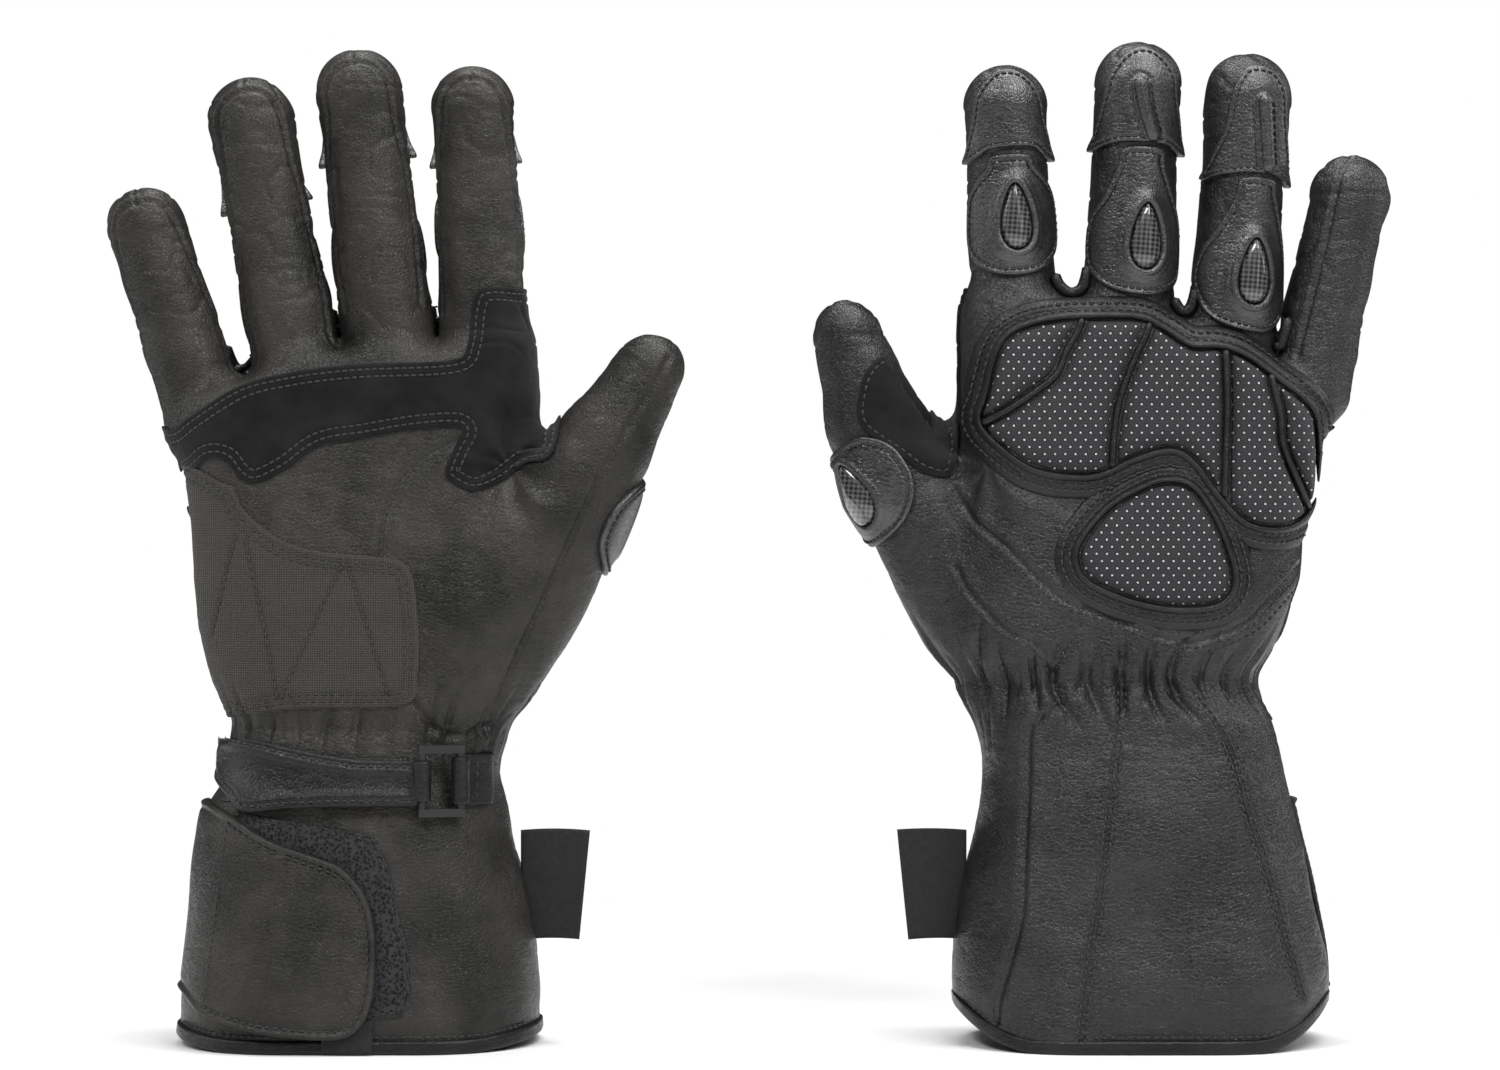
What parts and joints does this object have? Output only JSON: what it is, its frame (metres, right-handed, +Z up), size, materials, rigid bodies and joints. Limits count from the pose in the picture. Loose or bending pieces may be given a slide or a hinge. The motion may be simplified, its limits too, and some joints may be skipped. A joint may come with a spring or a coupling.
{
  "type": "riding gloves",
  "caption": "Leather gauntlet riding gloves with knuckle padding, hard finger shells, a wrist strap with ring and a hook-and-loop cuff flap.",
  "frame": {"origin": "centre of the pair's box, on the surface that the cuffs stand on", "axes": "+Z up along the fingers, +X across both palms, +Y away from the side where the first glove shows its palm"},
  "size_m": [0.4195, 0.0888, 0.3279],
  "materials": {
    "palm_leather": "fine-grained semi-matte",
    "back_leather": "fine-grained semi-matte",
    "trim_leather": "moulded, smooth grain",
    "suede": "napped matte",
    "heel_canvas": "fine twill",
    "pad_fabric": "perforated woven",
    "hard_shell": "glossy with woven fibre under it",
    "elastic": "ribbed tape",
    "lining": "brushed fleece",
    "hook_loop": "fuzzy",
    "ring_plastic": "matte",
    "label": "woven satin"
  },
  "bodies": {
    "glove1_hand": {"glove1_palm_panel": "palm_leather", "glove1_back_panel": "back_leather", "glove1_cuff_back": "back_leather", "glove1_cuff_palm": "palm_leather", "glove1_wrist_elastic": "elastic", "glove1_hand_lining": "lining", "glove1_hem_binding": "trim_leather", "glove1_palm_band": "suede", "glove1_heel_patch": "heel_canvas", "glove1_finger_guards": "trim_leather", "glove1_finger_shells": "hard_shell", "glove1_knuckle_pad": "pad_fabric", "glove1_hand_pad": "pad_fabric", "glove1_strap_base": "trim_leather", "glove1_strap_tab": "trim_leather", "glove1_cuff_loop": "hook_loop", "glove1_side_label": "label", "glove1_size_label": "label"},
    "glove1_strap_ring": {"glove1_strap_ring": "ring_plastic"},
    "glove1_strap_end": {"glove1_strap_end": "trim_leather"},
    "glove1_flap": {"glove1_cuff_flap": "trim_leather", "glove1_flap_hook": "hook_loop"},
    "glove1_index_end": {"glove1_index_tip": "palm_leather", "glove1_index_overlay": "trim_leather"},
    "glove1_middle_end": {"glove1_middle_tip": "palm_leather", "glove1_middle_overlay": "trim_leather"},
    "glove1_ring_end": {"glove1_ring_tip": "palm_leather", "glove1_ring_overlay": "trim_leather"},
    "glove1_little_end": {"glove1_little_tip": "palm_leather"},
    "glove1_thumb_end": {"glove1_thumb_tip": "palm_leather"},
    "glove2_hand": {"glove2_palm_panel": "palm_leather", "glove2_back_panel": "back_leather", "glove2_cuff_back": "back_leather", "glove2_cuff_palm": "palm_leather", "glove2_wrist_elastic": "elastic", "glove2_hand_lining": "lining", "glove2_hem_binding": "trim_leather", "glove2_palm_band": "suede", "glove2_heel_patch": "heel_canvas", "glove2_finger_guards": "trim_leather", "glove2_finger_shells": "hard_shell", "glove2_knuckle_pad": "pad_fabric", "glove2_hand_pad": "pad_fabric", "glove2_strap_base": "trim_leather", "glove2_strap_tab": "trim_leather", "glove2_cuff_loop": "hook_loop", "glove2_side_label": "label", "glove2_size_label": "label"},
    "glove2_strap_ring": {"glove2_strap_ring": "ring_plastic"},
    "glove2_strap_end": {"glove2_strap_end": "trim_leather"},
    "glove2_flap": {"glove2_cuff_flap": "trim_leather", "glove2_flap_hook": "hook_loop"},
    "glove2_index_end": {"glove2_index_tip": "palm_leather", "glove2_index_overlay": "trim_leather"},
    "glove2_middle_end": {"glove2_middle_tip": "palm_leather", "glove2_middle_overlay": "trim_leather"},
    "glove2_ring_end": {"glove2_ring_tip": "palm_leather", "glove2_ring_overlay": "trim_leather"},
    "glove2_little_end": {"glove2_little_tip": "palm_leather"},
    "glove2_thumb_end": {"glove2_thumb_tip": "palm_leather"}
  },
  "joints": [
    {"name": "glove1_index_bend", "type": "hinge", "parent": "glove1_hand", "child": "glove1_index_end", "pos_m": [-0.08959, 0, 0.2867], "axis": [0.9987, 0, 0.0506], "range_deg": [0, 75], "stiffness_Nm_per_rad": 0.02},
    {"name": "glove1_middle_bend", "type": "hinge", "parent": "glove1_hand", "child": "glove1_middle_end", "pos_m": [-0.12509, 0, 0.2881], "axis": [0.993, 0, 0.1184], "range_deg": [0, 75], "stiffness_Nm_per_rad": 0.02},
    {"name": "glove1_ring_bend", "type": "hinge", "parent": "glove1_hand", "child": "glove1_ring_end", "pos_m": [-0.15779, 0, 0.2732], "axis": [0.9826, 0, 0.1857], "range_deg": [0, 75], "stiffness_Nm_per_rad": 0.02},
    {"name": "glove1_little_bend", "type": "hinge", "parent": "glove1_hand", "child": "glove1_little_end", "pos_m": [-0.19099, 0, 0.2462], "axis": [0.9511, 0, 0.309], "range_deg": [0, 75], "stiffness_Nm_per_rad": 0.02},
    {"name": "glove1_thumb_bend", "type": "hinge", "parent": "glove1_hand", "child": "glove1_thumb_end", "pos_m": [-0.04789, -0.012, 0.194], "axis": [0.551, -0.766, -0.3311], "range_deg": [0, 60], "stiffness_Nm_per_rad": 0.02},
    {"name": "glove1_flap_open", "type": "hinge", "parent": "glove1_hand", "child": "glove1_flap", "pos_m": [-0.18525, 0, 0.0415], "axis": [-0.1283, 0, -0.9917], "range_deg": [0, 95]},
    {"name": "glove1_ring_swing", "type": "hinge", "parent": "glove1_hand", "child": "glove1_strap_ring", "pos_m": [-0.09236, -0.03193, 0.087], "axis": [0, 0, 1], "range_deg": [0, 20]},
    {"name": "glove1_strap_open", "type": "hinge", "parent": "glove1_strap_ring", "child": "glove1_strap_end", "pos_m": [-0.10442, -0.03483, 0.087], "axis": [0, 0, 1], "range_deg": [0, 150]},
    {"name": "glove2_index_bend", "type": "hinge", "parent": "glove2_hand", "child": "glove2_index_end", "pos_m": [0.08541, 0, 0.2871], "axis": [-0.999, 0, -0.0454], "range_deg": [0, 75], "stiffness_Nm_per_rad": 0.02},
    {"name": "glove2_middle_bend", "type": "hinge", "parent": "glove2_hand", "child": "glove2_middle_end", "pos_m": [0.12701, 0, 0.2904], "axis": [-0.9988, 0, 0.0489], "range_deg": [0, 75], "stiffness_Nm_per_rad": 0.02},
    {"name": "glove2_ring_bend", "type": "hinge", "parent": "glove2_hand", "child": "glove2_ring_end", "pos_m": [0.16221, 0, 0.2805], "axis": [-0.9978, 0, 0.0663], "range_deg": [0, 75], "stiffness_Nm_per_rad": 0.02},
    {"name": "glove2_little_bend", "type": "hinge", "parent": "glove2_hand", "child": "glove2_little_end", "pos_m": [0.19321, 0, 0.2565], "axis": [-0.9767, 0, 0.2147], "range_deg": [0, 75], "stiffness_Nm_per_rad": 0.02},
    {"name": "glove2_thumb_bend", "type": "hinge", "parent": "glove2_hand", "child": "glove2_thumb_end", "pos_m": [0.04211, 0.012, 0.203], "axis": [-0.6147, 0.766, -0.1879], "range_deg": [0, 60], "stiffness_Nm_per_rad": 0.02},
    {"name": "glove2_flap_open", "type": "hinge", "parent": "glove2_hand", "child": "glove2_flap", "pos_m": [0.18446, 0, 0.0415], "axis": [0.1283, 0, -0.9917], "range_deg": [0, 95]},
    {"name": "glove2_ring_swing", "type": "hinge", "parent": "glove2_hand", "child": "glove2_strap_ring", "pos_m": [0.09158, 0.03193, 0.087], "axis": [0, 0, 1], "range_deg": [0, 20]},
    {"name": "glove2_strap_open", "type": "hinge", "parent": "glove2_strap_ring", "child": "glove2_strap_end", "pos_m": [0.10364, 0.03483, 0.087], "axis": [0, 0, 1], "range_deg": [0, 150]},
    {"name": "glove2_slide", "type": "slide", "parent": "glove1_hand", "child": "glove2_hand", "axis": [1, 0, 0], "range_m": [0, 0.05]}
  ]
}
